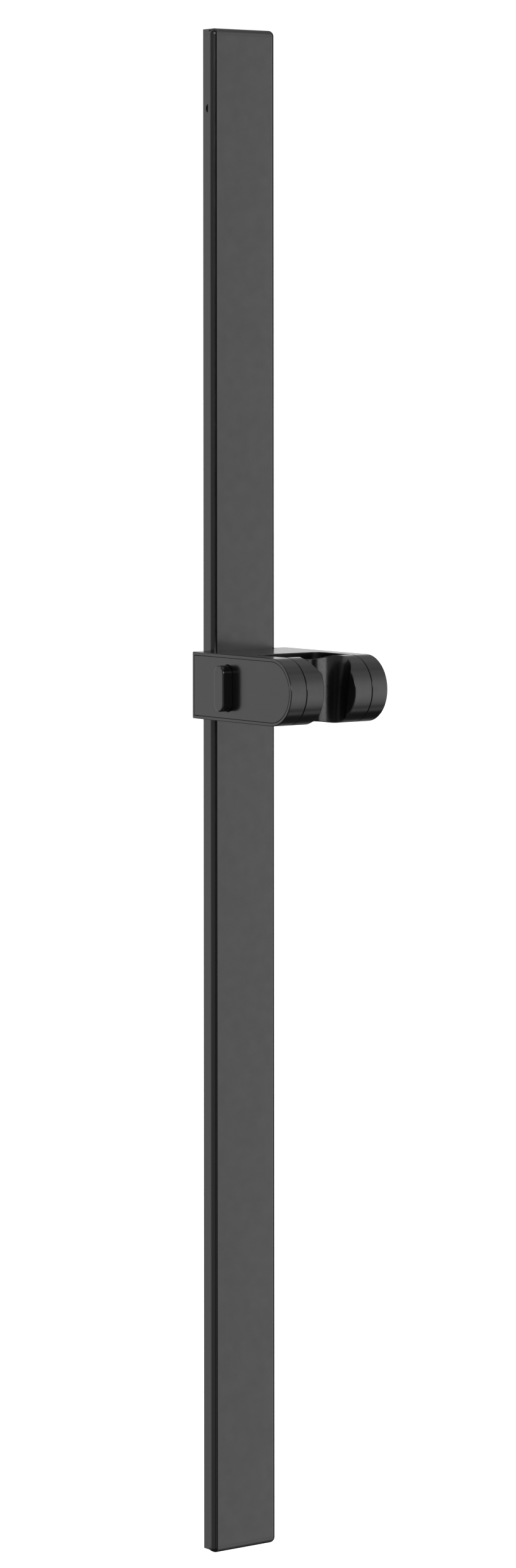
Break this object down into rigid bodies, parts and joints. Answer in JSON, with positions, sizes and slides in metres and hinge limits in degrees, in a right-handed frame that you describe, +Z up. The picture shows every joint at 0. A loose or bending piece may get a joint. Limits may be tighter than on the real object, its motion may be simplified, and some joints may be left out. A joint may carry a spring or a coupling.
{
  "type": "shower slide rail",
  "caption": "Flat wall rail with rounded edges and a sliding handset holder: a push-button brake in its arm and a tilting barrel with a conical bore open to the front.",
  "frame": {"origin": "on the wall plane, midway between the two wall screws, which is the middle of the rail's width and height", "axes": "+X to the right seen from the front, +Y into the wall, +Z up along the rail; the front faces -Y"},
  "size_m": [0.0765, 0.1083, 0.9],
  "materials": {
    "coated_aluminium": "satin black powder coat on an aluminium extrusion",
    "coated_plastic": "satin black coat on moulded plastic",
    "bare_aluminium": "plain drawn aluminium",
    "steel": "plain stainless steel",
    "slide_plastic": "smooth slide plastic",
    "pad_rubber": "matt rubber"
  },
  "bodies": {
    "rail": {"rail_profile": "coated_aluminium", "top_end_cap": "coated_plastic", "bottom_end_cap": "coated_plastic", "upper_wall_bracket": "bare_aluminium", "lower_wall_bracket": "bare_aluminium", "bracket_grub_screw": "steel"},
    "slider": {"slider_housing": "coated_plastic", "left_side_cover": "coated_plastic", "right_side_cover": "coated_plastic", "left_guide_shoe": "slide_plastic", "right_guide_shoe": "slide_plastic", "lever_pin": "steel", "return_spring": "steel"},
    "button": {"release_button": "coated_plastic", "push_rod": "steel"},
    "brake": {"brake_lever": "slide_plastic", "brake_pad": "pad_rubber"},
    "holder": {"holder_rotor": "coated_plastic", "pivot_screws": "steel", "friction_washers": "slide_plastic", "spring_washers": "steel"}
  },
  "joints": [
    {"name": "slider_slide", "type": "slide", "parent": "rail", "child": "slider", "axis": [0, 0, 1], "range_m": [-0.49, 0.365]},
    {"name": "button_press", "type": "slide", "parent": "slider", "child": "button", "axis": [1, 0, 0], "range_m": [0, 0.0025], "stiffness_N_per_m": 1500, "springref_m": -0.002, "deforming": ["return_spring"]},
    {"name": "brake_swing", "type": "hinge", "parent": "slider", "child": "brake", "pos_m": [0.015, -0.0251, 0.0627], "axis": [0, 0, 1], "range_deg": [0, 6.9]},
    {"name": "holder_tilt", "type": "hinge", "parent": "slider", "child": "holder", "pos_m": [0, -0.0887, 0.0627], "axis": [1, 0, 0], "range_deg": [-45, 45]}
  ],
  "couplings": [
    {"joint": "brake_swing", "follows": "button_press", "rad_per_m": 47.619}
  ]
}
